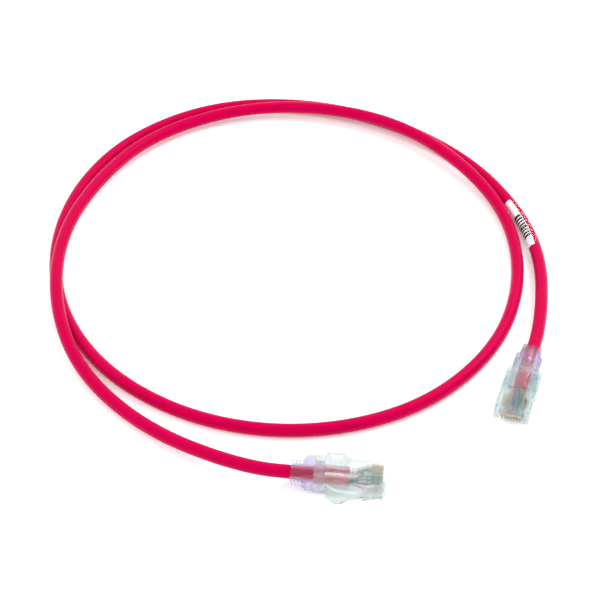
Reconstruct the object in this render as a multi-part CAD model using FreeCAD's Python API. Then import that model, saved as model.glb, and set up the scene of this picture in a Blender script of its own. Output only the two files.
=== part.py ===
import FreeCAD, Part
import math
import os
from FreeCAD import Placement, Rotation, Vector

# Ethernet patch cable: about 1 m of round twisted-pair cable laid in almost two turns,
# with a clear 8-position modular plug and a tinted strain-relief boot on each end.
# Millimetres. +Z is up and z = 0 is the table. The origin is on the table under the
# middle of plug A's body, and +X is the way plug A goes into its socket.

# ---------------------------------------------------------------- driving sizes
# cable
JACKET_OD = 4.5
JACKET_WALL = 0.45
PAIR_OD = 1.28
PAIR_CLEARANCE = 0.07       # from each pair to the jacket's bore
WEB_THICKNESS = 0.17        # the separator's cross
WEB_CLEARANCE = 0.1         # from the separator's tips to the jacket's bore

# plug body, measured along the plug from its nose
PLUG_WIDTH = 11.68
PLUG_HEIGHT = 6.6
PLUG_LENGTH = 19.3          # the full-width part
NOSE_SETBACK = 0.8          # the contact side of the nose stands behind the hinge lip
LIP_WIDTH = 8.4
LIP_HEIGHT = 2.4
BULGE_START = 13.3          # the body is deeper on its contact side from here back
BULGE_DEPTH = 1.7
NECK_LENGTH = 3.5
NECK_WIDTH = 8.9
NECK_RISE = 0.6             # above the body's latch face
NECK_INSET = 0.3            # its contact side lies inside the bulge's face
EDGE_RADIUS = 0.4
CLEARANCE = 0.15            # between pieces that slide into each other
GROOVE_START = 8.2          # a shallow groove runs along each side from here back
GROOVE_WIDTH = 1.3
GROOVE_DEPTH = 0.35
GROOVE_LEVEL = 0.4          # its middle, above the body's
POCKET_START = 14.2         # the strain relief's pocket in the deeper part
POCKET_LENGTH = 3.6
POCKET_WIDTH = 5.6
POCKET_DEPTH = 1.2
CAVITY_SIDE = 0.6           # from the jacket to the rear cavity's walls,
CAVITY_RISE = 0.25          # to its floor and roof,
CAVITY_FRONT = 0.2          # and from its front to the jacket's end
CHAMBER_STEP = 0.4          # the wires' chamber is this much lower than the cavity
OVERRUN = 2.0               # how far a cut runs past the faces that it opens

# conductors and contacts
PIN_COUNT = 8
PIN_PITCH = 1.02
WIRE_OD = 0.86
CORE_OD = 0.46
CORE_CLEARANCE = 0.03
WIRE_RING_CLEARANCE = 0.12  # from the ring of wires at the jacket's end to its bore
WIRE_ROWS = (-1.3, -0.45)   # heights of the staggered odd and even wires
WIRE_NOSE_GAP = 1.5         # from the nose to the wires' ends
FAN_START = 1.3             # the wires run straight for this far out of the jacket,
FAN_LENGTH = 2.7            # spread over this length,
FAN_LEAD = 0.9              # and lie in their rows for this far before the load bar
BAR_FRONT = 1.6
BAR_LENGTH = 5.0
BAR_WIDTH = 8.6
BAR_WALL = 0.2              # over and under the wires' holes
WIRE_HOLE_CLEARANCE = 0.08
CORE_SHARE_CUT = 0.6        # how far up a wire's bore its contact's room goes
CONTACT_THICKNESS = 0.35
CONTACT_FRONT = 1.3
CONTACT_LENGTH = 3.6
CONTACT_RECESS = 0.45       # below the contact face
CONTACT_CORNER = 0.5        # the rounded front end of the exposed edge
SLOT_WIDTH = 0.6
TOOTH_LENGTH = 0.8
TOOTH_INSET = 0.5           # from each end of a contact to its tooth

# latch, measured back from the nose and out from the latch face
HINGE_SETBACK = 0.75
HINGE_RADIUS = 0.55
HINGE_HEIGHT = 0.25
HINGE_CLEARANCE = 0.1
LATCH_BASE_WIDTH = 6.2
SHOULDER_SETBACK = 6.9
FINGER_WIDTH = 3.3
PAD_START = 11.7
PAD_WIDTH = 6.0
PAD_FULL = 13.8
LATCH_TIP = 18.5
# heights of its outer and inner face where it starts, at the shoulder, at the two ends
# and the peak of the round hump, and at its tip
LATCH_START = (0.6, 0.75, 0.5)
LATCH_SHOULDER = (SHOULDER_SETBACK, 3.3, 2.0)
HUMP_START = (11.8, 4.8, 3.6)
HUMP_PEAK = (14.4, 5.5, 4.3)
HUMP_END = (17.0, 4.7, 3.7)
LATCH_END = (LATCH_TIP, 3.0, 2.6)

# boot
BOOT_FLANGE_LENGTH = 2.4
BOOT_TAPER_LENGTH = 1.4
BOOT_FRONT_BOTTOM = 4.5     # below the cable's axis
BOOT_FRONT_TOP = 3.7        # above the cable's axis
RING_SIZE = 7.0
RING_COUNT = 3
RING_LENGTH = 0.75
RING_GAP = 0.4
BOOT_CORE_OD = 5.7
RING_ROUND = 1.8
BOOT_ROUND = 0.8
SLEEVE_LENGTH = 3.2
SLEEVE_RISE = 0.6           # from the jacket to the sleeve's outside, over and under it,
SLEEVE_SIDE = 1.1           # and at its sides
SLEEVE_ROUND = 0.5
JACKET_CLEARANCE = 0.1

# label
LABEL_FROM_END = 73.0       # along the cable from its end in plug B
LABEL_LENGTH = 25.4
LABEL_GAP = 0.05
PAPER_THICKNESS = 0.12
PAPER_ANGLE = 215.0
PAPER_MIDDLE = 205.0        # its middle faces into the loop and a little down
FILM_THICKNESS = 0.08

# the cable's pairs in order round it, and the wires from pin 1 to pin 8
PAIR_COLOURS = ["orange", "blue", "brown", "green"]
WIRE_COLOURS = ["white_orange", "orange", "white_green", "blue",
                "white_blue", "green", "white_brown", "brown"]

# places of the two plugs: the nose, and the plug's turn
PLUG_A_NOSE = Vector((PLUG_LENGTH + NECK_LENGTH) / 2, 0.0, PLUG_WIDTH / 2)
PLUG_B_NOSE = Vector(49.4, 32.3, PLUG_HEIGHT / 2 + BULGE_DEPTH)
PLUG_B_YAW = -101.8
# plug A lies on its pin-1 side, plug B on its contact side
PLACE_A = Placement(PLUG_A_NOSE, Rotation(Vector(1, 0, 0), 90))
PLACE_B = Placement(PLUG_B_NOSE, Rotation(Vector(0, 0, 1), PLUG_B_YAW))

# The cable's route between the two plugs: a first turn that climbs over the second one
# at the left, leans on its inner side along the back, and passes inside it at the right.
ROUTE_BETWEEN_PLUGS = [
    (-69.0, 14.0, 2.5),
    (-95.0, 37.0, 4.5),
    (-110.5, 65.5, 11.3),
    (-115.5, 99.0, 11.3),
    (-109.0, 131.0, 6.0),
    (-92.5, 159.0, 3.8),
    (-65.5, 178.5, 3.8),
    (-33.0, 183.5, 5.4),
    (-0.5, 176.0, 5.8),
    (26.5, 157.5, 4.6),
    (45.5, 131.5, 2.25),
    (51.5, 97.5, 2.25),
    (43.0, 63.5, 2.25),
    (19.5, 34.5, 2.25),
    (-15.0, 19.0, 2.25),
    (-52.0, 20.0, 2.25),
    (-85.5, 36.5, 2.25),
    (-108.0, 64.0, 2.25),
    (-117.5, 97.0, 2.25),
    (-115.5, 130.0, 2.25),
    (-101.5, 161.0, 2.25),
    (-72.5, 184.0, 2.25),
    (-36.0, 190.5, 2.25),
    (-0.5, 183.0, 2.25),
    (29.5, 164.0, 2.25),
    (49.5, 138.5, 2.7),
    (58.3, 110.0, 2.8),
]
FIRST_CORNER = 34.4         # from each plug's jacket end to the route's first corner there,
LAST_CORNER = 33.0          # in line with the plug


# ---------------------------------------------------------------- paths and tubes
def spans_of(points):
    """Straight runs joined by tangent arcs, each arc as large as its two runs allow."""
    points = [Vector(*p) for p in points]
    spans = []
    here = points[0]
    for before, corner, after in zip(points, points[1:], points[2:]):
        run_in = corner - before
        run_out = after - corner
        half_turn = run_in.getAngle(run_out) / 2
        setback = 0.45 * min(run_in.Length, run_out.Length)
        radius = setback / math.tan(half_turn)
        axis = run_in.cross(run_out).normalize()
        arc_start = corner - Vector(run_in).normalize() * setback
        centre = arc_start + axis.cross(run_in).normalize() * radius
        spans.append({"start": here, "vector": arc_start - here})
        spans.append({"start": arc_start, "centre": centre, "axis": axis,
                      "angle": 2 * half_turn, "radius": radius})
        here = corner + Vector(run_out).normalize() * setback
    spans.append({"start": here, "vector": points[-1] - here})
    return spans


def span_length(span):
    if "vector" in span:
        return span["vector"].Length
    return span["angle"] * span["radius"]


def direction_of(span):
    """The way a span sets out."""
    if "vector" in span:
        return Vector(span["vector"]).normalize()
    return span["axis"].cross(span["start"] - span["centre"]).normalize()


def stretch_of(spans, start, end):
    """The part of a path between two distances along it."""
    stretch = []
    passed = 0.0
    for span in spans:
        length = span_length(span)
        first = max(start - passed, 0.0)
        last = min(end - passed, length)
        passed += length
        if last - first < 1e-6:
            continue
        cut = dict(span)
        if "vector" in span:
            cut["start"] = span["start"] + span["vector"] * (first / length)
            cut["vector"] = span["vector"] * ((last - first) / length)
        else:
            turn = Rotation(span["axis"], math.degrees(first / span["radius"]))
            cut["start"] = span["centre"] + turn.multVec(span["start"] - span["centre"])
            cut["angle"] = (last - first) / span["radius"]
        stretch.append(cut)
    return stretch


def flat_face(wires):
    """A face bounded by its first wire, with the others as holes."""
    return Part.makeFace(wires, "Part::FaceMakerBullseye")


def sweep(wires, spans):
    """Carry the closed wires of one flat section along the spans and close both ends."""
    wires = [w.copy() for w in wires]
    faces = [flat_face(wires)]
    for span in spans:
        for wire in wires:
            if "vector" in span:
                faces += wire.extrude(span["vector"]).Faces
                wire.translate(span["vector"])
            else:
                degrees = math.degrees(span["angle"])
                faces += wire.revolve(span["centre"], span["axis"], degrees).Faces
                wire.rotate(span["centre"], span["axis"], degrees)
    faces.append(flat_face(wires))
    shell = Part.makeShell(faces)
    shell.sewShape()
    solid = Part.Solid(Part.Shell(shell.Faces))
    if solid.Volume < 0:
        solid.reverse()
    return solid


def circle(centre, normal, radius):
    return Part.Wire(Part.makeCircle(radius, centre, normal))


def box(x0, x1, y0, y1, z0, z1):
    """A box by its corners, in any order."""
    low = Vector(min(x0, x1), min(y0, y1), min(z0, z1))
    return Part.makeBox(abs(x1 - x0), abs(y1 - y0), abs(z1 - z0), low)


def plate(outline, thickness, along):
    """A flat outline of (x, y, z) points, extruded both ways along an axis."""
    face = Part.Face(Part.makePolygon([Vector(*p) for p in outline + outline[:1]]))
    face.translate(along * (-thickness / 2))
    return face.extrude(along * thickness)


def long_edges(shape, axis):
    """The straight edges of a shape that run along one axis."""
    found = []
    for edge in shape.Edges:
        if isinstance(edge.Curve, Part.Line):
            if abs(edge.tangentAt(edge.FirstParameter).dot(axis)) > 0.999:
                found.append(edge)
    return found


X_AXIS = Vector(1, 0, 0)
Y_AXIS = Vector(0, 1, 0)


# ---------------------------------------------------------------- plug, in its own frame
# The nose is at x = 0 and the body runs to -x. The latch is up, and pin 1 is at -y.
JACKET_BORE = JACKET_OD / 2 - JACKET_WALL
PAIR_CENTRE = JACKET_BORE - PAIR_CLEARANCE - PAIR_OD / 2
WIRE_RING_RADIUS = JACKET_BORE - WIRE_RING_CLEARANCE - WIRE_OD / 2
FAN_END = BAR_FRONT + BAR_LENGTH + FAN_LEAD
JACKET_END = FAN_END + FAN_LENGTH + FAN_START
HALF_WIDTH = PLUG_WIDTH / 2
LATCH_FACE = PLUG_HEIGHT / 2
CONTACT_FACE = -PLUG_HEIGHT / 2
BULGE_FACE = CONTACT_FACE - BULGE_DEPTH
BODY_END = PLUG_LENGTH + NECK_LENGTH
NECK_TOP = LATCH_FACE + NECK_RISE
NECK_BOTTOM = BULGE_FACE + NECK_INSET
SLEEVE_TOP = JACKET_OD / 2 + SLEEVE_RISE
SLEEVE_HALF_WIDTH = JACKET_OD / 2 + SLEEVE_SIDE
CAVITY_HALF_WIDTH = JACKET_OD / 2 + CAVITY_SIDE
CAVITY_HALF_HEIGHT = JACKET_OD / 2 + CAVITY_RISE
CHAMBER_HALF_WIDTH = BAR_WIDTH / 2 + CLEARANCE
CHAMBER_HALF_HEIGHT = CAVITY_HALF_HEIGHT - CHAMBER_STEP
BAR_TOP = WIRE_ROWS[1] + WIRE_OD / 2 + WIRE_HOLE_CLEARANCE + BAR_WALL
BAR_BOTTOM = WIRE_ROWS[0] - WIRE_OD / 2 - WIRE_HOLE_CLEARANCE - BAR_WALL
HINGE_X = -HINGE_SETBACK
HINGE_Z = LATCH_FACE + HINGE_HEIGHT


def pin_y(pin):
    return (pin - (PIN_COUNT - 1) / 2) * PIN_PITCH


def pin_z(pin):
    return WIRE_ROWS[pin % 2]


def make_plug_body():
    main = box(-NOSE_SETBACK, -PLUG_LENGTH, -HALF_WIDTH, HALF_WIDTH, CONTACT_FACE, LATCH_FACE)
    ramp = BULGE_START - BULGE_DEPTH / 2
    bulge = plate([(-ramp, 0, CONTACT_FACE), (-BULGE_START, 0, BULGE_FACE),
                   (-PLUG_LENGTH, 0, BULGE_FACE), (-PLUG_LENGTH, 0, CONTACT_FACE)],
                  PLUG_WIDTH, Y_AXIS)
    body = main.fuse(bulge).removeSplitter()
    body = body.makeFillet(EDGE_RADIUS, long_edges(body, X_AXIS))
    lip = box(0, -NOSE_SETBACK, -LIP_WIDTH / 2, LIP_WIDTH / 2, LATCH_FACE - LIP_HEIGHT, LATCH_FACE)
    neck = box(-PLUG_LENGTH, -BODY_END, -NECK_WIDTH / 2, NECK_WIDTH / 2, NECK_BOTTOM, NECK_TOP)
    neck = neck.makeFillet(EDGE_RADIUS, long_edges(neck, X_AXIS))
    body = body.fuse([lip, neck])

    cuts = [
        # rear cavity for the jacket, and its wider mouth for the boot's sleeve
        box(-JACKET_END + CAVITY_FRONT, -BODY_END - OVERRUN, -CAVITY_HALF_WIDTH,
            CAVITY_HALF_WIDTH, -CAVITY_HALF_HEIGHT, CAVITY_HALF_HEIGHT),
        box(-BODY_END + SLEEVE_LENGTH + CLEARANCE, -BODY_END - OVERRUN,
            -SLEEVE_HALF_WIDTH - CLEARANCE, SLEEVE_HALF_WIDTH + CLEARANCE,
            -SLEEVE_TOP - CLEARANCE, SLEEVE_TOP + CLEARANCE),
        # chamber where the wires fan out, and the load bar's pocket
        box(-BAR_FRONT - BAR_LENGTH, -JACKET_END, -CHAMBER_HALF_WIDTH, CHAMBER_HALF_WIDTH,
            -CHAMBER_HALF_HEIGHT, CHAMBER_HALF_HEIGHT),
        box(-BAR_FRONT + CLEARANCE, -BAR_FRONT - BAR_LENGTH - CLEARANCE,
            -CHAMBER_HALF_WIDTH, CHAMBER_HALF_WIDTH, BAR_BOTTOM - CLEARANCE, BAR_TOP + CLEARANCE),
        # the strain relief's pocket in the bulge
        box(-POCKET_START, -POCKET_START - POCKET_LENGTH, -POCKET_WIDTH / 2, POCKET_WIDTH / 2,
            BULGE_FACE - OVERRUN, BULGE_FACE + POCKET_DEPTH),
    ]
    groove_bottom = GROOVE_LEVEL - GROOVE_WIDTH / 2
    for inner, outer in ((HALF_WIDTH - GROOVE_DEPTH, HALF_WIDTH + OVERRUN),
                         (-HALF_WIDTH - OVERRUN, -HALF_WIDTH + GROOVE_DEPTH)):
        cuts.append(box(-GROOVE_START, -PLUG_LENGTH - OVERRUN, inner, outer,
                        groove_bottom, groove_bottom + GROOVE_WIDTH))
    slot_end = CONTACT_FRONT + CONTACT_LENGTH + CLEARANCE
    for pin in range(PIN_COUNT):
        cuts.append(box(0, -slot_end, pin_y(pin) - SLOT_WIDTH / 2, pin_y(pin) + SLOT_WIDTH / 2,
                        CONTACT_FACE - OVERRUN, BAR_BOTTOM))
    barrel_seat = Part.makeCylinder(HINGE_RADIUS + HINGE_CLEARANCE, LIP_WIDTH + 2 * OVERRUN,
                                    Vector(HINGE_X, -LIP_WIDTH / 2 - OVERRUN, HINGE_Z), Y_AXIS)
    cuts.append(barrel_seat)
    return body.cut(cuts)


def make_latch():
    """A springy arm on a barrel at the nose, seen from the side and then from above."""
    def outer(station):
        return Vector(-station[0], 0, LATCH_FACE + station[1])

    def inner(station):
        return Vector(-station[0], 0, LATCH_FACE + station[2])

    hump = (HUMP_START, HUMP_PEAK, HUMP_END)
    ahead = Part.makePolygon([inner(HUMP_START), inner(LATCH_SHOULDER), inner(LATCH_START),
                              outer(LATCH_START), outer(LATCH_SHOULDER), outer(HUMP_START)])
    behind = Part.makePolygon([outer(HUMP_END), outer(LATCH_END), inner(LATCH_END),
                               inner(HUMP_END)])
    over = Part.Arc(*[outer(station) for station in hump]).toShape()
    under = Part.Arc(*[inner(station) for station in reversed(hump)]).toShape()
    outline = Part.Wire([*ahead.Edges, over, *behind.Edges, under])
    half_thick = LATCH_BASE_WIDTH / 2 + OVERRUN
    outline.translate(Vector(0, -half_thick, 0))
    side = Part.Face(outline).extrude(Vector(0, 2 * half_thick, 0))

    half_base = LATCH_BASE_WIDTH / 2
    half_finger = FINGER_WIDTH / 2
    half_pad = PAD_WIDTH / 2
    right = [(0, half_base), (SHOULDER_SETBACK, half_base), (SHOULDER_SETBACK, half_finger),
             (PAD_START, half_finger), (PAD_FULL, half_pad), (LATCH_TIP, half_pad)]
    plan = [(-x, y, LATCH_FACE) for x, y in right]
    plan += [(-x, -y, LATCH_FACE) for x, y in reversed(right)]
    top = Part.Face(Part.makePolygon([Vector(*p) for p in plan + plan[:1]]))
    arm = side.common(top.extrude(Vector(0, 0, HUMP_PEAK[1] + OVERRUN)))
    barrel = Part.makeCylinder(HINGE_RADIUS, LATCH_BASE_WIDTH,
                               Vector(HINGE_X, -half_base, HINGE_Z), Y_AXIS)
    return arm.fuse(barrel).removeSplitter()


def make_contacts():
    """Eight flat blades, each with two teeth that reach its wire's copper core."""
    blades = []
    crown = CONTACT_FACE + CONTACT_RECESS
    front = -CONTACT_FRONT
    rear = -CONTACT_FRONT - CONTACT_LENGTH
    shelf = BAR_BOTTOM - CLEARANCE
    for pin in range(PIN_COUNT):
        tooth_top = pin_z(pin) - CORE_OD / 2 - CORE_CLEARANCE
        outline = [(front - CONTACT_CORNER, 0, crown), (front, 0, crown + CONTACT_CORNER),
                   (front, 0, shelf)]
        for tooth_front in (front - TOOTH_INSET, rear + TOOTH_INSET + TOOTH_LENGTH):
            tooth_rear = tooth_front - TOOTH_LENGTH
            outline += [(tooth_front, 0, shelf), (tooth_front, 0, tooth_top),
                        (tooth_rear, 0, tooth_top), (tooth_rear, 0, shelf)]
        outline += [(rear, 0, shelf), (rear, 0, crown)]
        blade = plate(outline, CONTACT_THICKNESS, Y_AXIS)
        blade.translate(Vector(0, pin_y(pin), 0))
        blades.append(blade)
    return Part.makeCompound(blades)


def blade_room(pin, top):
    """The space that a contact's teeth take in the load bar and in a wire's insulation."""
    half = CONTACT_THICKNESS / 2 + CLEARANCE / 2
    return box(-CONTACT_FRONT + CLEARANCE, -CONTACT_FRONT - CONTACT_LENGTH - CLEARANCE,
               pin_y(pin) - half, pin_y(pin) + half, BAR_BOTTOM - OVERRUN, top)


def make_load_bar():
    half = BAR_WIDTH / 2
    bar = box(-BAR_FRONT, -BAR_FRONT - BAR_LENGTH, -half, half, BAR_BOTTOM, BAR_TOP)
    cuts = []
    for pin in range(PIN_COUNT):
        hole_start = Vector(0, pin_y(pin), pin_z(pin))
        cuts.append(Part.makeCylinder(WIRE_OD / 2 + WIRE_HOLE_CLEARANCE,
                                      BAR_FRONT + BAR_LENGTH + OVERRUN,
                                      hole_start, Vector(-1, 0, 0)))
        cuts.append(blade_room(pin, pin_z(pin)))
    return bar.cut(cuts)


def wire_spans(pin):
    """One wire: out of the jacket, across to its place in the row, and on to the nose."""
    places = [(-1, -1), (-1, 1), (-1, -1), (-1, 1), (1, -1), (1, 1), (1, -1), (1, 1)]
    side, level = places[pin]
    half_step = math.pi / PIN_COUNT
    near = WIRE_RING_RADIUS * math.sin(half_step)
    far = WIRE_RING_RADIUS * math.cos(half_step)
    outer_wire = pin in (0, 1, PIN_COUNT - 2, PIN_COUNT - 1)
    y0 = side * (far if outer_wire else near)
    z0 = level * (near if outer_wire else far)
    return spans_of([(-JACKET_END, y0, z0), (-JACKET_END + FAN_START, y0, z0),
                     (-FAN_END, pin_y(pin), pin_z(pin)),
                     (-WIRE_NOSE_GAP, pin_y(pin), pin_z(pin))])


def make_wire(pin):
    spans = wire_spans(pin)
    start = spans[0]["start"]
    bore = CORE_OD / 2 + CORE_CLEARANCE
    rings = [circle(start, X_AXIS, WIRE_OD / 2), circle(start, X_AXIS, bore)]
    return sweep(rings, spans).cut(blade_room(pin, pin_z(pin) - bore * CORE_SHARE_CUT))


def make_cores():
    cores = []
    for pin in range(PIN_COUNT):
        spans = wire_spans(pin)
        cores.append(sweep([circle(spans[0]["start"], X_AXIS, CORE_OD / 2)], spans))
    return Part.makeCompound(cores)


def rounded_block(x0, x1, half_width, z0, z1, radius):
    block = box(x0, x1, -half_width, half_width, z0, z1)
    return block.makeFillet(radius, long_edges(block, X_AXIS))


def make_boot():
    front = -BODY_END
    flange_end = front - BOOT_FLANGE_LENGTH
    taper_end = flange_end - BOOT_TAPER_LENGTH
    half = RING_SIZE / 2
    flange = rounded_block(front, flange_end, NECK_WIDTH / 2, -BOOT_FRONT_BOTTOM,
                           BOOT_FRONT_TOP, BOOT_ROUND)
    wide = Part.makePolygon([Vector(flange_end, y, z) for y, z in
                             rectangle(NECK_WIDTH / 2, -BOOT_FRONT_BOTTOM, BOOT_FRONT_TOP,
                                       BOOT_ROUND)])
    narrow = Part.makePolygon([Vector(taper_end, y, z) for y, z in
                               rectangle(half, -half, half, BOOT_ROUND)])
    taper = Part.makeLoft([wide, narrow], True, True)
    ring_pitch = RING_LENGTH + RING_GAP
    boot_end = taper_end - RING_COUNT * ring_pitch
    core = Part.makeCylinder(BOOT_CORE_OD / 2, taper_end - boot_end, Vector(boot_end, 0, 0), X_AXIS)
    rings = []
    for number in range(RING_COUNT):
        ring_front = taper_end - number * ring_pitch - RING_GAP
        rings.append(rounded_block(ring_front, ring_front - RING_LENGTH, half, -half, half,
                                   RING_ROUND))
    sleeve = rounded_block(front + SLEEVE_LENGTH, front, SLEEVE_HALF_WIDTH, -SLEEVE_TOP,
                           SLEEVE_TOP, SLEEVE_ROUND)
    boot = flange.fuse([taper, core, sleeve] + rings)
    bore_length = front + SLEEVE_LENGTH - boot_end + 2 * OVERRUN
    bore = Part.makeCylinder(JACKET_OD / 2 + JACKET_CLEARANCE, bore_length,
                             Vector(boot_end - OVERRUN, 0, 0), X_AXIS)
    return boot.cut(bore).removeSplitter()


def rectangle(half_width, z0, z1, corner):
    """A closed rectangle with its four corners cut off."""
    points = [(half_width - corner, z0), (half_width, z0 + corner),
              (half_width, z1 - corner), (half_width - corner, z1)]
    points += [(-y, z) for y, z in reversed(points)]
    return points + points[:1]


# ---------------------------------------------------------------- cable
def cable_route():
    """The whole route, from the jacket's end in plug A to its end in plug B."""
    start = PLACE_A.multVec(Vector(-JACKET_END, 0, 0))
    first_corner = PLACE_A.multVec(Vector(-JACKET_END - FIRST_CORNER, 0, 0))
    last_corner = PLACE_B.multVec(Vector(-JACKET_END - LAST_CORNER, 0, 0))
    end = PLACE_B.multVec(Vector(-JACKET_END, 0, 0))
    between = [Vector(*p) for p in ROUTE_BETWEEN_PLUGS]
    return [start, first_corner] + between + [last_corner, end]


def section_axes(span):
    """Two directions across the cable where a span starts: level, and upward."""
    ahead = direction_of(span)
    level = Vector(0, 0, 1).cross(ahead).normalize()
    return ahead, level, ahead.cross(level)


def make_jacket(spans):
    start = spans[0]["start"]
    ahead = direction_of(spans[0])
    return sweep([circle(start, ahead, JACKET_OD / 2), circle(start, ahead, JACKET_BORE)], spans)


def make_pair(spans, number):
    """One of four plain tubes round the cable's axis, each in the place of a twisted pair."""
    ahead, level, up = section_axes(spans[0])
    angle = math.radians(90 * number)
    offset = level * math.cos(angle) + up * math.sin(angle)
    centre = spans[0]["start"] + offset * PAIR_CENTRE
    return sweep([circle(centre, ahead, PAIR_OD / 2)], spans)


def make_separator(spans):
    """A thin cross that keeps the four pairs apart."""
    ahead, level, up = section_axes(spans[0])
    start = spans[0]["start"]
    tip = JACKET_BORE - WEB_CLEARANCE
    half = WEB_THICKNESS / 2
    points = []
    for quarter in range(4):
        angle = math.radians(90 * quarter + 45)
        out = level * math.cos(angle) + up * math.sin(angle)
        side = ahead.cross(out)
        points += [start + out * half - side * half, start + out * tip - side * half,
                   start + out * tip + side * half]
    return sweep([Part.makePolygon(points + points[:1])], spans)


def make_band(spans, inner, thickness, angle, middle):
    """A band round the cable over a stretch, wrapped over an angle about its middle."""
    ahead, level, up = section_axes(spans[0])
    start = spans[0]["start"]
    outer = inner + thickness
    if angle >= 360:
        return sweep([circle(start, ahead, outer), circle(start, ahead, inner)], spans)

    def at(radius, degrees):
        turn = math.radians(middle + degrees)
        return start + (level * math.cos(turn) + up * math.sin(turn)) * radius

    half = angle / 2
    outside = Part.Arc(at(outer, -half), at(outer, 0), at(outer, half)).toShape()
    inside = Part.Arc(at(inner, half), at(inner, 0), at(inner, -half)).toShape()
    ends = [Part.makeLine(at(outer, half), at(inner, half)),
            Part.makeLine(at(inner, -half), at(outer, -half))]
    return sweep([Part.Wire([outside, ends[0], inside, ends[1]])], spans)


def make_label(spans):
    """The printed paper, and the clear film wrapped once round the cable over it."""
    whole = sum(span_length(span) for span in spans)
    start = whole - LABEL_FROM_END - LABEL_LENGTH
    stretch = stretch_of(spans, start, start + LABEL_LENGTH)
    paper_inner = JACKET_OD / 2 + LABEL_GAP
    film_inner = paper_inner + PAPER_THICKNESS + LABEL_GAP
    paper = make_band(stretch, paper_inner, PAPER_THICKNESS, PAPER_ANGLE, PAPER_MIDDLE)
    film = make_band(stretch, film_inner, FILM_THICKNESS, 360, 0)
    return paper, film


# ---------------------------------------------------------------- all the pieces
def build():
    pieces = {}
    spans = spans_of(cable_route())
    print("arc radii:", " ".join("%.0f" % s["radius"] for s in spans if "radius" in s))
    pieces["cable_jacket"] = make_jacket(spans)
    length = sum(span_length(span) for span in spans)
    section = math.pi * ((JACKET_OD / 2) ** 2 - JACKET_BORE ** 2)
    print("tube length %.1f, volume %.1f, section times length %.1f"
          % (length, pieces["cable_jacket"].Volume, section * length))
    for number, colour in enumerate(PAIR_COLOURS):
        pieces["pair_" + colour] = make_pair(spans, number)
    pieces["pair_separator"] = make_separator(spans)
    pieces["label_paper"], pieces["label_film"] = make_label(spans)

    plug = {"plug_body": make_plug_body(), "latch": make_latch(), "contacts": make_contacts(),
            "load_bar": make_load_bar(), "boot": make_boot(), "copper_cores": make_cores()}
    for pin, colour in enumerate(WIRE_COLOURS):
        plug["wire_" + colour] = make_wire(pin)
    for end, place in (("a", PLACE_A), ("b", PLACE_B)):
        for name, shape in plug.items():
            placed = shape.copy()
            placed.Placement = place.multiply(placed.Placement)
            pieces[name + "_" + end] = placed
    return pieces


def main():
    os.makedirs("parts", exist_ok=True)
    for name, shape in build().items():
        if not shape.isValid():
            print("not valid:", name)
        shape.exportStep("parts/" + name + ".step")
        print("%-22s %2d solids %9.2f mm3" % (name, len(shape.Solids), shape.Volume))
    hinge = Vector(HINGE_X, 0, HINGE_Z)
    for end, place in (("a", PLACE_A), ("b", PLACE_B)):
        print("latch hinge", end, place.multVec(hinge), place.Rotation.multVec(Y_AXIS))


main()
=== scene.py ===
# %% [markdown]
# # An ethernet patch cable, from its CAD frame to a finished look
# The cable lies on a table in two loops, with a clear plug at each end. The hard
# parts (plug bodies, latches, contacts, load bars, boots, wires) come from CAD with
# their real shapes, so this script only gives them finishes. The soft parts (the
# jacket, and the label round it) are made here, because a cable lies in smooth
# curves that suit splines better than CAD.

# %% Load the frame
import math

import bmesh
import bpy
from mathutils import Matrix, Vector


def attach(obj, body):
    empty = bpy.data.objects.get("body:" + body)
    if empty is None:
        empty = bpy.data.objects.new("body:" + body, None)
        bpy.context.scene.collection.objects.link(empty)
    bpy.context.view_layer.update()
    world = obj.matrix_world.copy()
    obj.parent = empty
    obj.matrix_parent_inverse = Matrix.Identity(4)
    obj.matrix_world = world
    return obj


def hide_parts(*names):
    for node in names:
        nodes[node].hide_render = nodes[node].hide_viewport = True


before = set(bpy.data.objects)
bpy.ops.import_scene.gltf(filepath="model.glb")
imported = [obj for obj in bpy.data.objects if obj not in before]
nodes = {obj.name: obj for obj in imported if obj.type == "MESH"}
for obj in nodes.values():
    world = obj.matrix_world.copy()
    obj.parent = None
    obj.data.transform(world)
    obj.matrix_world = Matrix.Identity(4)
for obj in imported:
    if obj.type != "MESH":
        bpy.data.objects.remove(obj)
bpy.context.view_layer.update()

# %% [markdown]
# ## Camera
# A small product on a table is usually taken with a long lens from above, at about
# 45 degrees. The long lens keeps the far side of the loops nearly as large as the
# near side. The view transform is set to Standard, because the filmic one turns a
# pure white background grey and saturated PVC dull.

# %% Camera
MM = 0.001

scene = bpy.context.scene
camera_data = bpy.data.cameras.new("product_camera")
camera_data.lens = 100.3
camera_data.sensor_width = 36.0
camera_data.clip_end = 10.0
camera = bpy.data.objects.new("product_camera", camera_data)
camera.location = (0.0238, -0.3315, 0.4166)
camera.rotation_euler = (math.radians(45), 0, math.radians(6.83))
scene.collection.objects.link(camera)
scene.camera = camera
scene.view_settings.view_transform = "Standard"
print("camera looks down at 45 degrees with a lens of", camera_data.lens, "mm")

# %% [markdown]
# ## The route of the cable
# A patch cable keeps some of the curl of the coil it was packed in, so it lies in
# two loose turns. It could be simulated, but the lie is known, so it is drawn: a
# list of control points in millimetres, from the jacket's end in plug A to its end
# in plug B. A NURBS curve of order 3 runs smoothly between them. Each plug holds
# the jacket straight, so a point stands inside each plug. The first turn climbs over
# the second at the left in a long low hump, leans on it along the back and comes down
# inside it at the right. The rest lies on the table, with the axis half a diameter up,
# and each end rises to its plug.

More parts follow.
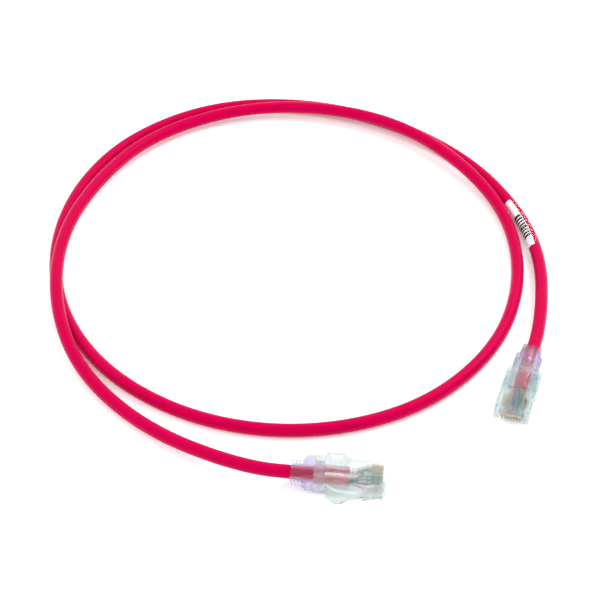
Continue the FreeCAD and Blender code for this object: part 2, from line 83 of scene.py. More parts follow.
# %% Route of the cable
CABLE_OD = 4.5 * MM
LYING = 2.25                # height of the axis where the cable lies, in millimetres
ROUTE = [
    (-0.1, 0, 5.84), (-12, 0, 5.84), (-34.5, 0, 5.84),
    (-68.5, 14.5, 2.5), (-95.5, 36.5, 3.8), (-110, 65.5, 7.0), (-114.5, 99, 7.0),
    (-108, 130.5, 5.7), (-94, 160, 3.8), (-66, 180, 3.9), (-33, 185.5, 5.0),
    (0.5, 178, 5.8), (26.8, 158.3, 5.1), (46, 132, 2.8), (51.5, 97.5, LYING),
    (43.5, 63.5, LYING), (20, 34, LYING), (-15, 19, LYING), (-52, 20, LYING),
    (-85.5, 36.5, LYING), (-108, 64, LYING), (-117.5, 97, LYING), (-115.5, 130, LYING),
    (-101.5, 160.5, LYING), (-73, 183.5, LYING), (-36.5, 190, LYING), (-1, 182, LYING),
    (28.5, 163.4, LYING), (48.2, 137.9, 2.4), (58.3, 110.5, 2.8), (58.5, 75.86, 5.0),
    (54.2, 55.2, 5.0), (51.75, 43.56, 5.0),
]
route_data = bpy.data.curves.new("cable_route", "CURVE")
route_data.dimensions = "3D"
route_data.resolution_u = 16
spline = route_data.splines.new("NURBS")
spline.points.add(len(ROUTE) - 1)
for point, place in zip(spline.points, ROUTE):
    point.co = (*(Vector(place) * MM), 1.0)
spline.order_u = 3
spline.use_endpoint_u = True
route = bpy.data.objects.new("cable_route", route_data)
scene.collection.objects.link(route)

# %% Centre line and its length
bpy.context.view_layer.update()
line_mesh = bpy.data.meshes.new_from_object(route)
centre_line = [v.co.copy() for v in line_mesh.vertices]
cable_length = sum((b - a).length for a, b in zip(centre_line, centre_line[1:]))
print("cable length %.4f m over %d points" % (cable_length, len(centre_line)))

# %% [markdown]
# ## Helpers for nodes and finishes
# Finishes and Geometry Nodes trees are both node trees, so one function adds a node,
# with its settings and its inputs, to either. An input is a number or colour, which
# is set on the socket, or another node's output, which is linked. Colours are
# written as sRGB hex, as in a paint program, and turned to the linear light that
# the renderer works in. Most finishes here vary a little by a noise in the piece's
# own space, whose scale is in features per metre. Four more functions make that
# noise and turn it into a mix of two colours, a range of numbers or a bumpy surface.

# %% Helpers
def linear(hex_colour):
    """An sRGB hex colour as linear red, green, blue and alpha."""
    channels = [int(hex_colour[i:i + 2], 16) / 255 for i in (1, 3, 5)]
    lit = [c / 12.92 if c <= 0.04045 else ((c + 0.055) / 1.055) ** 2.4 for c in channels]
    return (*lit, 1.0)


def add_node(tree, kind, inputs=None, **settings):
    """A new node with these settings, whose inputs are set to values or linked to outputs."""
    node = tree.nodes.new(kind)
    for name, value in settings.items():
        setattr(node, name, value)
    for name, value in (inputs or {}).items():
        if isinstance(value, bpy.types.NodeSocket):
            tree.links.new(value, node.inputs[name])
        else:
            node.inputs[name].default_value = value
    return node


def new_material(name, **surface):
    """A material with a Principled surface. Returns the material, its tree and the shader node."""
    material = bpy.data.materials.new(name)
    material.use_nodes = True
    tree = material.node_tree
    tree.nodes.clear()
    shader = add_node(tree, "ShaderNodeBsdfPrincipled")
    for socket, value in surface.items():
        shader.inputs[socket.replace("_", " ")].default_value = value
    add_node(tree, "ShaderNodeOutputMaterial", {"Surface": shader.outputs[0]})
    return material, tree, shader


def grain(tree, scale, detail):
    """Noise in the piece's own space, with this many features a metre."""
    place = add_node(tree, "ShaderNodeTexCoord")
    noise = add_node(tree, "ShaderNodeTexNoise",
                     {"Vector": place.outputs["Object"], "Scale": scale, "Detail": detail})
    return noise.outputs["Fac"]


def mix_colours(tree, factor, first, second):
    """The colour between two linear colours that an output from 0 to 1 picks."""
    mix = add_node(tree, "ShaderNodeMix", {"Factor": factor}, data_type="RGBA")
    mix.inputs[6].default_value = first
    mix.inputs[7].default_value = second
    return mix.outputs[2]


def between(tree, factor, low, high):
    """The number between low and high that an output from 0 to 1 picks."""
    return add_node(tree, "ShaderNodeMapRange",
                    {"Value": factor, "To Min": low, "To Max": high}).outputs[0]


def bumps(tree, height, strength, distance):
    """The surface direction that a height pattern of this depth gives."""
    return add_node(tree, "ShaderNodeBump",
                    {"Height": height, "Strength": strength, "Distance": distance}).outputs[0]


print("PVC red in linear light:", [round(c, 3) for c in linear("#B00038")])

# %% [markdown]
# ## Geometry Nodes: a tube along the route
# The jacket is a main piece whose shape follows a rule: one round section all along
# the route. Curve to Mesh makes just that. A finish that follows the cable needs to
# know where each point would be if the cable were pulled straight, so the tree
# stores that place, in metres, as an attribute named "straight": across the section
# in X and Y, and along the cable in Z.

# %% The tube's node tree
def new_tree(name, sockets):
    """An empty Geometry Nodes tree with named inputs. Returns it and its input node."""
    tree = bpy.data.node_groups.new(name, "GeometryNodeTree")
    tree.interface.new_socket("Geometry", in_out="OUTPUT", socket_type="NodeSocketGeometry")
    tree.interface.new_socket("Geometry", in_out="INPUT", socket_type="NodeSocketGeometry")
    for label, kind in sockets:
        tree.interface.new_socket(label, in_out="INPUT", socket_type="NodeSocket" + kind)
    return tree, add_node(tree, "NodeGroupInput")


tube_tree, given = new_tree("tube_along_route", [
    ("Route", "Object"), ("Radius", "Float"), ("Sides", "Int"), ("Finish", "Material")])
path = add_node(tube_tree, "GeometryNodeObjectInfo", {"Object": given.outputs["Route"]})
along = add_node(tube_tree, "GeometryNodeSplineParameter")
level = add_node(tube_tree, "GeometryNodeSetCurveNormal",
                 {"Curve": path.outputs["Geometry"]}, mode="Z_UP")
measured = add_node(tube_tree, "GeometryNodeStoreNamedAttribute",
                    {"Geometry": level.outputs[0], "Name": "along",
                     "Value": along.outputs["Length"]})
circle = add_node(tube_tree, "GeometryNodeCurvePrimitiveCircle",
                  {"Resolution": given.outputs["Sides"], "Radius": given.outputs["Radius"]})
place = add_node(tube_tree, "GeometryNodeInputPosition")
section = add_node(tube_tree, "GeometryNodeStoreNamedAttribute",
                   {"Geometry": circle.outputs["Curve"], "Name": "section",
                    "Value": place.outputs[0]}, data_type="FLOAT_VECTOR")
tube = add_node(tube_tree, "GeometryNodeCurveToMesh",
                {"Curve": measured.outputs[0], "Profile Curve": section.outputs[0]})
read_along = add_node(tube_tree, "GeometryNodeInputNamedAttribute", {"Name": "along"})
read_section = add_node(tube_tree, "GeometryNodeInputNamedAttribute",
                        {"Name": "section"}, data_type="FLOAT_VECTOR")
upright = add_node(tube_tree, "ShaderNodeCombineXYZ", {"Z": read_along.outputs["Attribute"]})
straight = add_node(tube_tree, "ShaderNodeVectorMath",
                    {0: read_section.outputs["Attribute"], 1: upright.outputs[0]})
stored = add_node(tube_tree, "GeometryNodeStoreNamedAttribute",
                  {"Geometry": tube.outputs[0], "Name": "straight",
                   "Value": straight.outputs[0]}, data_type="FLOAT_VECTOR")
realized = add_node(tube_tree, "GeometryNodeRealizeInstances", {"Geometry": stored.outputs[0]})
finished = add_node(tube_tree, "GeometryNodeSetMaterial",
                    {"Geometry": realized.outputs[0], "Material": given.outputs["Finish"]})
add_node(tube_tree, "NodeGroupOutput", {"Geometry": finished.outputs[0]})
print("tube tree:", len(tube_tree.nodes), "nodes")

# %% [markdown]
# ## Running a tree on an object
# A modifier runs the tree. Its inputs are set by each socket's identifier before the
# object is first evaluated. The evaluated result is then copied to a plain mesh on
# an object of its own, which no longer depends on any modifier.

# %% Running a tree
def add_tree(piece, tree, **values):
    """Adds the tree to the object as a modifier, with these inputs."""
    modifier = piece.modifiers.new(tree.name, "NODES")
    modifier.node_group = tree
    sockets = {s.name: s.identifier for s in tree.interface.items_tree if s.in_out == "INPUT"}
    for label, value in values.items():
        modifier[sockets[label.replace("_", " ")]] = value


def evaluated_piece(source, name):
    """A plain mesh object from what the modifiers on source make. The source is removed."""
    bpy.context.view_layer.update()
    graph = bpy.context.evaluated_depsgraph_get()
    mesh = bpy.data.meshes.new_from_object(
        source.evaluated_get(graph), preserve_all_data_layers=True, depsgraph=graph)
    bpy.data.objects.remove(source)
    mesh.name = name
    piece = bpy.data.objects.new(name, mesh)
    scene.collection.objects.link(piece)
    return piece


def empty_piece(name):
    """A mesh object with nothing in it, for a tree that makes its own geometry."""
    piece = bpy.data.objects.new(name, bpy.data.meshes.new(name))
    scene.collection.objects.link(piece)
    return piece


print("trees run on an empty mesh or on a flat one")

# %% [markdown]
# ## Finish of the jacket
# The jacket is soft PVC, coloured all through and pressed out of a round die. That
# leaves a smooth, half-glossy skin with three faint marks: lines drawn along the
# cable by the die, a slight waviness over the pairs inside, and a patchy sheen from
# handling. All three are read from the "straight" attribute, so they follow the
# cable round its loops. PVC has an IOR of about 1.54. Its reflection is held low and
# tinted, because the white all round would otherwise wash out the red.

# %% Red PVC
def pvc_red():
    """Extruded flexible PVC in crimson: saturated, half glossy, with faint lines along it."""
    material, tree, shader = new_material(
        "extruded_pvc_crimson", IOR=1.54, Roughness=0.34, Specular_IOR_Level=0.08,
        Specular_Tint=linear("#FF2A90"))
    where = add_node(tree, "ShaderNodeAttribute", attribute_name="straight")
    # die lines: 0.25 mm apart round the cable, and long along it
    drawn = add_node(tree, "ShaderNodeMapping",
                     {"Vector": where.outputs["Vector"], "Scale": (4000, 4000, 25)})
    lines = add_node(tree, "ShaderNodeTexNoise",
                     {"Vector": drawn.outputs[0], "Scale": 1.0, "Detail": 2.0})
    # waviness over the twisted pairs: about 12 mm along, 3 mm round
    over_pairs = add_node(tree, "ShaderNodeMapping",
                          {"Vector": where.outputs["Vector"], "Scale": (300, 300, 80)})
    waves = add_node(tree, "ShaderNodeTexNoise",
                     {"Vector": over_pairs.outputs[0], "Scale": 1.0, "Detail": 1.0})
    # patches of sheen, about 20 mm long
    handled = add_node(tree, "ShaderNodeTexNoise",
                       {"Vector": where.outputs["Vector"], "Scale": 50.0, "Detail": 3.0})
    sheen = between(tree, handled.outputs["Fac"], 0.28, 0.42)
    tone = mix_colours(tree, waves.outputs["Fac"], linear("#B00038"), linear("#B80044"))
    fine = bumps(tree, lines.outputs["Fac"], 0.15, 0.02 * MM)
    both = add_node(tree, "ShaderNodeBump",
                    {"Height": waves.outputs["Fac"], "Strength": 0.5, "Distance": 0.12 * MM,
                     "Normal": fine})
    tree.links.new(tone, shader.inputs["Base Color"])
    tree.links.new(sheen, shader.inputs["Roughness"])
    tree.links.new(both.outputs[0], shader.inputs["Normal"])
    return material


jacket_finish = pvc_red()
print("jacket finish:", jacket_finish.name)

# %% [markdown]
# ## The jacket and its cut ends
# The tube is open at both ends. Inside a clear plug the cut end shows: a ring as
# wide as the jacket's wall, then the bore, from which the wires fan out. Each open
# edge is extruded inwards to the bore, then a few millimetres into it, and closed.

# %% Jacket
JACKET_WALL = 0.45 * MM
BORE_DEPTH = 2.5 * MM
jacket = empty_piece("jacket_tube")
add_tree(jacket, tube_tree, Route=route, Radius=CABLE_OD / 2, Sides=36,
         Finish=jacket_finish)
jacket = evaluated_piece(jacket, "cable_jacket_skin")


def close_end(bm, rim, inward):
    """Turns an open rim into a cut end: the wall's ring, a short bore and its bottom."""
    centre = sum((v.co for e in rim for v in e.verts), Vector()) / (2 * len(rim))
    share = 1 - JACKET_WALL / (CABLE_OD / 2)
    ring = bmesh.ops.extrude_edge_only(bm, edges=rim)["geom"]
    for v in (g for g in ring if isinstance(g, bmesh.types.BMVert)):
        v.co = centre + (v.co - centre) * share
    inner = [g for g in ring if isinstance(g, bmesh.types.BMEdge)]
    bore = bmesh.ops.extrude_edge_only(bm, edges=inner)["geom"]
    for v in (g for g in bore if isinstance(g, bmesh.types.BMVert)):
        v.co += inward * BORE_DEPTH
    bottom = [g for g in bore if isinstance(g, bmesh.types.BMEdge)]
    bmesh.ops.contextual_create(bm, geom=bottom)


bm = bmesh.new()
bm.from_mesh(jacket.data)
rim_edges = [e for e in bm.edges if e.is_boundary]
for end, inside in ((centre_line[0], centre_line[1]), (centre_line[-1], centre_line[-2])):
    rim = [e for e in rim_edges if (e.verts[0].co - end).length < CABLE_OD]
    close_end(bm, rim, (inside - end).normalized())
bmesh.ops.recalc_face_normals(bm, faces=bm.faces)
for face in bm.faces:
    face.smooth = True
bm.to_mesh(jacket.data)
bm.free()
jacket.data.set_sharp_from_angle(angle=math.radians(40))
print("jacket:", len(jacket.data.polygons), "faces")

# %% [markdown]
# ## Geometry Nodes: roll a flat sheet round the cable
# The label is flat when it is printed: white paper with a row of bars, and a clear
# film over it. It is easiest to lay it out flat, X along the cable, Y round it and Z
# away from it, and roll it up in one tree. The tree finds the point of the route
# that is X further on than the start, and turns Y into an angle.

# %% The roller's node tree
def math_node(tree, operation, first, second):
    """The output of one sum of two numbers or outputs."""
    return add_node(tree, "ShaderNodeMath", {0: first, 1: second}, operation=operation).outputs[0]


def scaled(tree, vector, factor):
    """The output that is a vector output times a number output."""
    return add_node(tree, "ShaderNodeVectorMath", {0: vector, "Scale": factor},
                    operation="SCALE").outputs[0]


roll_tree, given = new_tree("roll_round_route", [
    ("Route", "Object"), ("Start", "Float"), ("Radius", "Float"), ("Middle angle", "Float"),
    ("Finish", "Material")])
path = add_node(roll_tree, "GeometryNodeObjectInfo", {"Object": given.outputs["Route"]})
level = add_node(roll_tree, "GeometryNodeSetCurveNormal",
                 {"Curve": path.outputs["Geometry"]}, mode="Z_UP")
flat = add_node(roll_tree, "ShaderNodeSeparateXYZ",
                {0: add_node(roll_tree, "GeometryNodeInputPosition").outputs[0]})
distance = math_node(roll_tree, "ADD", given.outputs["Start"], flat.outputs["X"])
at = add_node(roll_tree, "GeometryNodeSampleCurve",
              {"Curves": level.outputs[0], "Length": distance}, mode="LENGTH")
# the route's normal points to the right of the way along, and up is square to both
right = at.outputs["Normal"]
up = add_node(roll_tree, "ShaderNodeVectorMath",
              {0: right, 1: at.outputs["Tangent"]}, operation="CROSS_PRODUCT").outputs[0]
angle = math_node(roll_tree, "ADD", given.outputs["Middle angle"],
                  math_node(roll_tree, "DIVIDE", flat.outputs["Y"], given.outputs["Radius"]))
reach = math_node(roll_tree, "ADD", given.outputs["Radius"], flat.outputs["Z"])
across = math_node(roll_tree, "MULTIPLY", reach, math_node(roll_tree, "COSINE", angle, 0.0))
above = math_node(roll_tree, "MULTIPLY", reach, math_node(roll_tree, "SINE", angle, 0.0))
outward = add_node(roll_tree, "ShaderNodeVectorMath",
                   {0: scaled(roll_tree, right, across), 1: scaled(roll_tree, up, above)})
placed = add_node(roll_tree, "ShaderNodeVectorMath",
                  {0: at.outputs["Position"], 1: outward.outputs[0]})
rolled = add_node(roll_tree, "GeometryNodeSetPosition",
                  {"Geometry": given.outputs["Geometry"], "Position": placed.outputs[0]})
realized = add_node(roll_tree, "GeometryNodeRealizeInstances", {"Geometry": rolled.outputs[0]})
finished = add_node(roll_tree, "GeometryNodeSetMaterial",
                    {"Geometry": realized.outputs[0], "Material": given.outputs["Finish"]})
add_node(roll_tree, "NodeGroupOutput", {"Geometry": finished.outputs[0]})
print("roller tree:", len(roll_tree.nodes), "nodes")

# %% [markdown]
# ## Geometry Nodes: printed bars
# The print is a row of bars of uneven width, with no lettering. Each bar is an
# instance of one thin strip on a row of points, narrowed or widened by a random
# amount from a fixed seed, so the row never changes from run to run.

# %% The bars' node tree
bars_tree, given = new_tree("printed_bars", [
    ("Count", "Int"), ("Pitch", "Float"), ("Length", "Float"), ("Thinnest", "Float"),
    ("Thickest", "Float"), ("Seed", "Int")])
step = add_node(bars_tree, "ShaderNodeCombineXYZ", {"X": given.outputs["Pitch"]})
row = add_node(bars_tree, "GeometryNodeMeshLine",
               {"Count": given.outputs["Count"], "Offset": step.outputs[0]})
strip = add_node(bars_tree, "GeometryNodeMeshGrid",
                 {"Size X": 1.0, "Size Y": given.outputs["Length"], "Vertices X": 2,
                  "Vertices Y": 16})
width = add_node(bars_tree, "FunctionNodeRandomValue",
                 {2: given.outputs["Thinnest"], 3: given.outputs["Thickest"],
                  "Seed": given.outputs["Seed"]})
size = add_node(bars_tree, "ShaderNodeCombineXYZ", {"X": width.outputs[1], "Y": 1.0, "Z": 1.0})
bars = add_node(bars_tree, "GeometryNodeInstanceOnPoints",
                {"Points": row.outputs[0], "Instance": strip.outputs["Mesh"],
                 "Scale": size.outputs[0]})
realized = add_node(bars_tree, "GeometryNodeRealizeInstances", {"Geometry": bars.outputs[0]})
add_node(bars_tree, "NodeGroupOutput", {"Geometry": realized.outputs[0]})
print("bars tree:", len(bars_tree.nodes), "nodes")

# %% [markdown]
# ## Finishes of the label
# The paper is white vinyl with a satin face: nearly white, with a fine uneven tooth.
# The ink is thermal-transfer black, thin and a little glossy. The film over them is
# clear polypropylene, 0.08 mm thick, which shows only as a sheen and a thin edge. Film
# that thin doesn't shift what is under it, so it passes most light straight on.

# %% White vinyl, ink and clear film
FILM_SHARE = 0.12           # share of the light that the film bends or mirrors


def vinyl_white():
    """Calendered vinyl, satin white, with a tooth of about 0.2 mm."""
    material, tree, shader = new_material("calendered_vinyl_white", IOR=1.5, Roughness=0.45)
    tooth = grain(tree, scale=5000.0, detail=2.0)
    tone = mix_colours(tree, tooth, linear("#E9E9EC"), linear("#F6F6F8"))
    tree.links.new(tone, shader.inputs["Base Color"])
    bump = bumps(tree, tooth, strength=0.2, distance=0.01 * MM)
    tree.links.new(bump, shader.inputs["Normal"])
    return material


def transfer_ink():
    """Thermal-transfer ink: near black, a little greyer where the ribbon laid it thin."""
    material, tree, shader = new_material("transfer_ink_black", IOR=1.5, Roughness=0.35)
    spots = grain(tree, scale=3000.0, detail=3.0)
    tone = mix_colours(tree, spots, linear("#101014"), linear("#1E1E24"))
    tree.links.new(tone, shader.inputs["Base Color"])
    return material


def film_clear():
    """Clear polypropylene film: glossy, and seen straight through."""
    material, tree, shader = new_material(
        "polypropylene_film_clear", IOR=1.49, Roughness=0.08, Transmission_Weight=1.0,
        Alpha=FILM_SHARE, Base_Color=linear("#FDFDFF"))
    ripple = grain(tree, scale=400.0, detail=1.0)
    bump = bumps(tree, ripple, strength=0.1, distance=0.01 * MM)
    tree.links.new(bump, shader.inputs["Normal"])
    return material


paper_finish = vinyl_white()
ink_finish = transfer_ink()
film_finish = film_clear()
print("label finishes:", paper_finish.name, ink_finish.name, film_finish.name)

# %% [markdown]
# ## The label
# The sheets are made flat with their real thickness, then rolled. The paper goes
# three fifths of the way round, with its middle facing into the loop and a little
# down. The film goes all the way round over it. The label ends 73 mm before the
# jacket's end in plug B and is 25.4 mm long, a common label size.

# %% Label
LABEL_LENGTH = 25.4 * MM
LABEL_FROM_END = 73 * MM
LABEL_START = cable_length - LABEL_FROM_END - LABEL_LENGTH
LABEL_GAP = 0.05 * MM
PAPER_THICKNESS = 0.12 * MM
PAPER_ANGLE = 215
PAPER_MIDDLE = -25          # degrees up from the side that faces into the loop
FILM_THICKNESS = 0.08 * MM
paper_radius = CABLE_OD / 2 + LABEL_GAP
film_radius = paper_radius + PAPER_THICKNESS + LABEL_GAP


def flat_sheet(name, length, width, thickness, columns, rows):
    """A flat closed sheet from X = 0, centred in Y, standing on Z = 0."""
    bm = bmesh.new()
    bmesh.ops.create_grid(bm, x_segments=columns, y_segments=rows, size=0.5)
    for v in bm.verts:
        v.co = ((v.co.x + 0.5) * length, v.co.y * width, 0)
    top = bmesh.ops.extrude_face_region(bm, geom=bm.faces[:])["geom"]
    for v in (g for g in top if isinstance(g, bmesh.types.BMVert)):
        v.co.z = thickness
    bmesh.ops.recalc_face_normals(bm, faces=bm.faces)
    piece = empty_piece(name)
    bm.to_mesh(piece.data)
    bm.free()
    return piece


def roll(piece, radius, name, finish, start=LABEL_START, middle=PAPER_MIDDLE):
    """The flat piece rolled round the cable."""
    add_tree(piece, roll_tree, Route=route, Start=start, Radius=radius,
             Middle_angle=math.radians(middle), Finish=finish)
    return evaluated_piece(piece, name)


paper = flat_sheet("paper_flat", LABEL_LENGTH, math.radians(PAPER_ANGLE) * paper_radius,
                   PAPER_THICKNESS, 40, 36)
paper = roll(paper, paper_radius, "label_paper_rolled", paper_finish)
film = flat_sheet("film_flat", LABEL_LENGTH, 2 * math.pi * film_radius, FILM_THICKNESS, 40, 60)
film = roll(film, film_radius, "label_film_rolled", film_finish)
# the film's two edges meet, so they are welded into one closed tube
bm = bmesh.new()
bm.from_mesh(film.data)
bmesh.ops.remove_doubles(bm, verts=bm.verts, dist=0.005 * MM)
bm.to_mesh(film.data)
bm.free()
print("label: paper and film,", round(LABEL_LENGTH / MM, 1), "mm long")

# %% [markdown]
# ## The printed bars
# The row of bars runs from a third to four fifths of the way along the label. It
# is rolled like the sheets, a hundredth of a millimetre above the paper's face, and
# turned up from the paper's middle to where it is seen from above.

# %% Printed bars
BARS_FROM = 9.0 * MM        # from the label's start to the first bar's middle
BARS_TURN = 36              # degrees up from the paper's middle
BAR_COUNT = 8
BAR_PITCH = 1.55 * MM
BAR_LENGTH = 5.8 * MM
BAR_THINNEST = 0.9 * MM
BAR_THICKEST = 1.42 * MM
INK_LIFT = 0.01 * MM
bars = empty_piece("bars_flat")
add_tree(bars, bars_tree, Count=BAR_COUNT, Pitch=BAR_PITCH, Length=BAR_LENGTH,
         Thinnest=BAR_THINNEST, Thickest=BAR_THICKEST, Seed=7)
bars = roll(bars, paper_radius + PAPER_THICKNESS + INK_LIFT, "label_bars", ink_finish,
            start=LABEL_START + BARS_FROM, middle=PAPER_MIDDLE + BARS_TURN)
for piece in (paper, film, bars):
    for face in piece.data.polygons:
        face.use_smooth = True
    piece.data.set_sharp_from_angle(angle=math.radians(40))
print("bars:", BAR_COUNT, "on the label")

# %% [markdown]
# ## Finish of the clear parts
# Plug bodies, latches and load bars are injection-moulded polycarbonate, whose IOR
# is 1.585. It is clear with a trace of blue-green, which shows where the plastic is
# thick. The moulding tool leaves a soft orange-peel on the faces, and the load bar's
# tool was left rougher, so the bar looks slightly milky. Small thin walls bend little
# of what is seen square through them, so a share of the light passes straight on
# there, and none where the wall is seen along its skin and mirrors its surroundings.

# %% Clear polycarbonate
SQUARE_ON = 0.35            # share of a clear skin that bends light, seen square on
ALONG_SKIN = 1.0            # and seen along it


def clear_plastic(tree, shader, tint, density):
    """Makes a see-through skin, and a tint inside that deepens with thickness."""
    slant = add_node(tree, "ShaderNodeLayerWeight", {"Blend": 0.3})
    share = between(tree, slant.outputs["Facing"], SQUARE_ON, ALONG_SKIN)
    tree.links.new(share, shader.inputs["Alpha"])
    depth = add_node(tree, "ShaderNodeVolumeAbsorption",
                     {"Color": linear(tint), "Density": density})
    output = next(n for n in tree.nodes if n.type == "OUTPUT_MATERIAL")
    tree.links.new(depth.outputs[0], output.inputs["Volume"])


def polycarbonate(name, tint, edge, roughness, density):
    """Injection-moulded clear polycarbonate with a tint that deepens with thickness."""
    material, tree, shader = new_material(
        name, IOR=1.585, Roughness=roughness, Transmission_Weight=1.0)
    clear_plastic(tree, shader, tint, density)
    peel = grain(tree, scale=900.0, detail=2.0)
    patches = between(tree, peel, roughness * 0.5, roughness * 1.5)
    # seen along a wall, the light has come through more plastic, so the tint is deeper
    glancing = add_node(tree, "ShaderNodeLayerWeight", {"Blend": 0.35})
    tone = mix_colours(tree, glancing.outputs["Facing"], linear("#FFFFFF"), linear(edge))
    tree.links.new(tone, shader.inputs["Base Color"])
    tree.links.new(patches, shader.inputs["Roughness"])
    bump = bumps(tree, peel, strength=0.25, distance=0.03 * MM)
    tree.links.new(bump, shader.inputs["Normal"])
    return material


body_finish = polycarbonate("moulded_polycarbonate_clear", tint="#A9D9D5", edge="#86BDBB",
                            roughness=0.02, density=60.0)
bar_finish = polycarbonate("moulded_polycarbonate_frosted", tint="#CFE8E4", edge="#CDE4E1",
                           roughness=0.12, density=30.0)
print("clear finishes:", body_finish.name, bar_finish.name)

# %% [markdown]
# ## Finish of the boots
# The boot is softer than the plug: clear PVC with a violet-blue tint, moulded over
# the neck. Its skin is less glossy, and the tint is strong enough to colour what is
# seen through it. It is see-through in the same way as the plug, at an IOR of 1.53.

# %% Tinted boot PVC
def boot_pvc():
    """Moulded translucent PVC with a violet-blue tint."""
    material, tree, shader = new_material(
        "moulded_pvc_violet_clear", IOR=1.53, Roughness=0.14, Transmission_Weight=0.98,
        Base_Color=linear("#EFEAFD"))
    clear_plastic(tree, shader, tint="#A09CF0", density=70.0)
    skin = grain(tree, scale=1400.0, detail=3.0)
    tree.links.new(between(tree, skin, low=0.1, high=0.24), shader.inputs["Roughness"])
    bump = bumps(tree, skin, strength=0.25, distance=0.03 * MM)
    tree.links.new(bump, shader.inputs["Normal"])
    return material


boot_finish = boot_pvc()
print("boot finish:", boot_finish.name)

# %% [markdown]
# ## Finish of the metals
# The contacts are phosphor bronze with a thin gold plate, stamped from strip, so
# their sides carry fine drag lines from the die. The conductors are bright drawn
# copper. Both are metals: fully metallic, with the default IOR.

# %% Gold and copper
def drawn_metal(name, dark, light, roughness):
    """A plated or drawn metal with fine scratches that vary its tone and gloss."""
    material, tree, shader = new_material(name, Metallic=1.0, Roughness=roughness)
    place = add_node(tree, "ShaderNodeTexCoord")
    stretch = add_node(tree, "ShaderNodeMapping",
                       {"Vector": place.outputs["Object"], "Scale": (600, 600, 9000)})
    drag = add_node(tree, "ShaderNodeTexNoise",
                    {"Vector": stretch.outputs[0], "Scale": 1.0, "Detail": 3.0})
    tone = mix_colours(tree, drag.outputs["Fac"], linear(dark), linear(light))
    gloss = between(tree, drag.outputs["Fac"], roughness * 0.7, roughness * 1.4)
    tree.links.new(tone, shader.inputs["Base Color"])
    tree.links.new(gloss, shader.inputs["Roughness"])
    return material


gold_finish = drawn_metal("gold_plated_bronze", dark="#C8963C", light="#F2CF7E",
                          roughness=0.22)
copper_finish = drawn_metal("drawn_copper_bright", dark="#B4603C", light="#E09A74",
                            roughness=0.25)
print("metals:", gold_finish.name, copper_finish.name)

# %% [markdown]
# ## Finish of the wires
# Each wire is copper in solid polyethylene, 0.86 mm across. Four are a full colour,
# and their partners are white with a band of that colour every 1.6 mm.
# The bands lie across the wire, so the pattern is turned to the plug's heading.

# %% Wire insulation
BAND_SPACING = 1.6 * MM
BAND_LEVEL = 0.72           # of the wave's height; the bands are what lies above it
HEADING = {"a": 0.0, "b": math.radians(-101.8)}     # how far each plug is turned about Z
COLOURS = {"orange": "#E8641E", "green": "#128A4A", "blue": "#1F5FB4", "brown": "#7A3F22"}


def insulation(colour, banded, end):
    """Extruded polyethylene: waxy and half glossy, plain or white with bands of the colour."""
    kind = "white_" + colour if banded else colour
    material, tree, shader = new_material(
        "extruded_polyethylene_%s_%s" % (kind, end), IOR=1.51, Roughness=0.35,
        Subsurface_Weight=0.1, Subsurface_Scale=0.5 * MM)
    full = linear(COLOURS[colour])
    paler = (*[min(1.0, c * 1.2 + 0.01) for c in full[:3]], 1.0)
    wax = grain(tree, scale=2500.0, detail=2.0)
    result = mix_colours(tree, wax, full, paler)
    if banded:
        place = add_node(tree, "ShaderNodeTexCoord")
        turned = add_node(tree, "ShaderNodeMapping",
                          {"Vector": place.outputs["Object"], "Rotation": (0, 0, -HEADING[end])})
        # a wave of bands repeats every 2 pi / 20 of a unit at scale 1
        bands = add_node(tree, "ShaderNodeTexWave",
                         {"Vector": turned.outputs[0],
                          "Scale": 2 * math.pi / 20 / BAND_SPACING},
                         wave_type="BANDS", bands_direction="X")
        edge = math_node(tree, "GREATER_THAN", bands.outputs["Fac"], BAND_LEVEL)
        mixed = add_node(tree, "ShaderNodeMix", {"Factor": edge}, data_type="RGBA")
        mixed.inputs[6].default_value = linear("#EDEBE4")
        tree.links.new(result, mixed.inputs[7])
        result = mixed.outputs[2]
    tree.links.new(result, shader.inputs["Base Color"])
    return material


insulation_finishes = {}
for end in "ab":
    for colour in COLOURS:
        insulation_finishes["wire_%s_%s" % (colour, end)] = insulation(
            colour, banded=False, end=end)
        insulation_finishes["wire_white_%s_%s" % (colour, end)] = insulation(
            colour, banded=True, end=end)
print("wire finishes:", len(insulation_finishes))

# %% [markdown]
# ## Giving the CAD nodes their finishes
# The CAD nodes keep their shapes and places. Only the material in each object's
# slots changes.

# %% Finishes on the CAD nodes
def give(node_name, material):
    """Replaces every material slot of the CAD node."""
    mesh = nodes[node_name].data
    mesh.materials.clear()
    mesh.materials.append(material)


PLUG_FINISHES = {"plug_body_": body_finish, "latch_": body_finish, "load_bar_": bar_finish,
                 "boot_": boot_finish, "contacts_": gold_finish, "copper_cores_": copper_finish}
finishes = dict(insulation_finishes)
for stem, material in PLUG_FINISHES.items():
    for end in "ab":
        finishes[stem + end] = material
for node_name, material in finishes.items():
    give(node_name, material)
print("finished CAD nodes:", len(finishes))

# %% [markdown]
# ## What rides on what
# The cable and its label rest on the same body as the plugs. The jacket stands for
# the CAD tube and for the pairs and the separator inside it, and the rolled sheets
# for the CAD label and its film.

# %% Riding and hidden parts
BODY = "root"
for piece in (jacket, paper, film, bars):
    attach(piece, BODY)
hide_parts("cable_jacket", "pair_orange", "pair_blue", "pair_brown", "pair_green",
            "pair_separator")
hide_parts("label_paper")
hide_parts("label_film")

bpy.data.objects.remove(route)

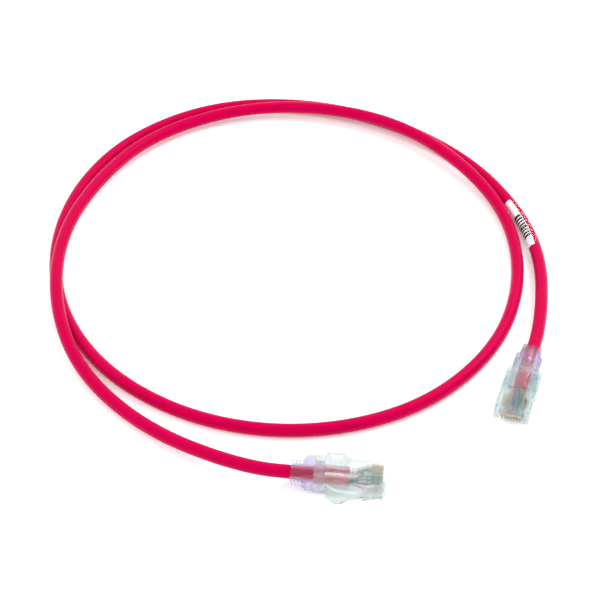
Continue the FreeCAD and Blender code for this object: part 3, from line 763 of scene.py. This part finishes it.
# %% [markdown]
# ## Table, light and surroundings
# The table is matt white with a faint glow of its own, like opal acrylic lit from
# below. Two softboxes hang above it, one behind at the right and one in front at the
# left, and keep the shadows faint. The light from all round is white above and a cool
# grey near the horizon: a clear plug shows its edges by the darker band that they
# bend into view.

# %% Table
bm = bmesh.new()
bmesh.ops.create_grid(bm, x_segments=1, y_segments=1, size=1.5)
floor_mesh = bpy.data.meshes.new("studio_table")
bm.to_mesh(floor_mesh)
bm.free()
floor = bpy.data.objects.new("studio_table", floor_mesh)
scene.collection.objects.link(floor)
floor_finish = new_material(
    "opal_acrylic_white", Roughness=0.9, Base_Color=linear("#FFFFFF"),
    Emission_Color=linear("#FFFFFF"), Emission_Strength=0.12)[0]
floor_mesh.materials.append(floor_finish)
print("table: 3 m square, at Z = 0")

# %% Lights
def area_light(name, place, target, size, power):
    """A square white softbox aimed at a point."""
    data = bpy.data.lights.new(name, "AREA")
    data.size = size
    data.energy = power
    lamp = bpy.data.objects.new(name, data)
    lamp.location = place
    lamp.rotation_euler = (Vector(target) - Vector(place)).to_track_quat("-Z", "Y").to_euler()
    scene.collection.objects.link(lamp)


middle = (-0.03, 0.09, 0.0)
area_light("softbox_over", (0.45, 0.55, 0.95), middle, size=0.5, power=8.0)
area_light("softbox_left", (-0.7, -0.3, 0.7), middle, size=0.8, power=3.0)
world = bpy.data.worlds.new("studio_surroundings")
scene.world = world
world.use_nodes = True
world.node_tree.nodes.clear()
way = add_node(world.node_tree, "ShaderNodeTexCoord")
height = add_node(world.node_tree, "ShaderNodeSeparateXYZ", {0: way.outputs["Generated"]})
ramp = add_node(world.node_tree, "ShaderNodeValToRGB", {"Fac": height.outputs["Z"]})
ramp.color_ramp.elements[0].position = 0.03
ramp.color_ramp.elements[0].color = linear("#6C8288")
ramp.color_ramp.elements[1].position = 0.3
ramp.color_ramp.elements[1].color = linear("#FFFFFF")
sky = add_node(world.node_tree, "ShaderNodeBackground",
               {"Color": ramp.outputs["Color"], "Strength": 1.15})
add_node(world.node_tree, "ShaderNodeOutputWorld", {"Surface": sky.outputs[0]})
print("lights: two softboxes and soft surroundings")

# %% Final update
bpy.context.view_layer.update()
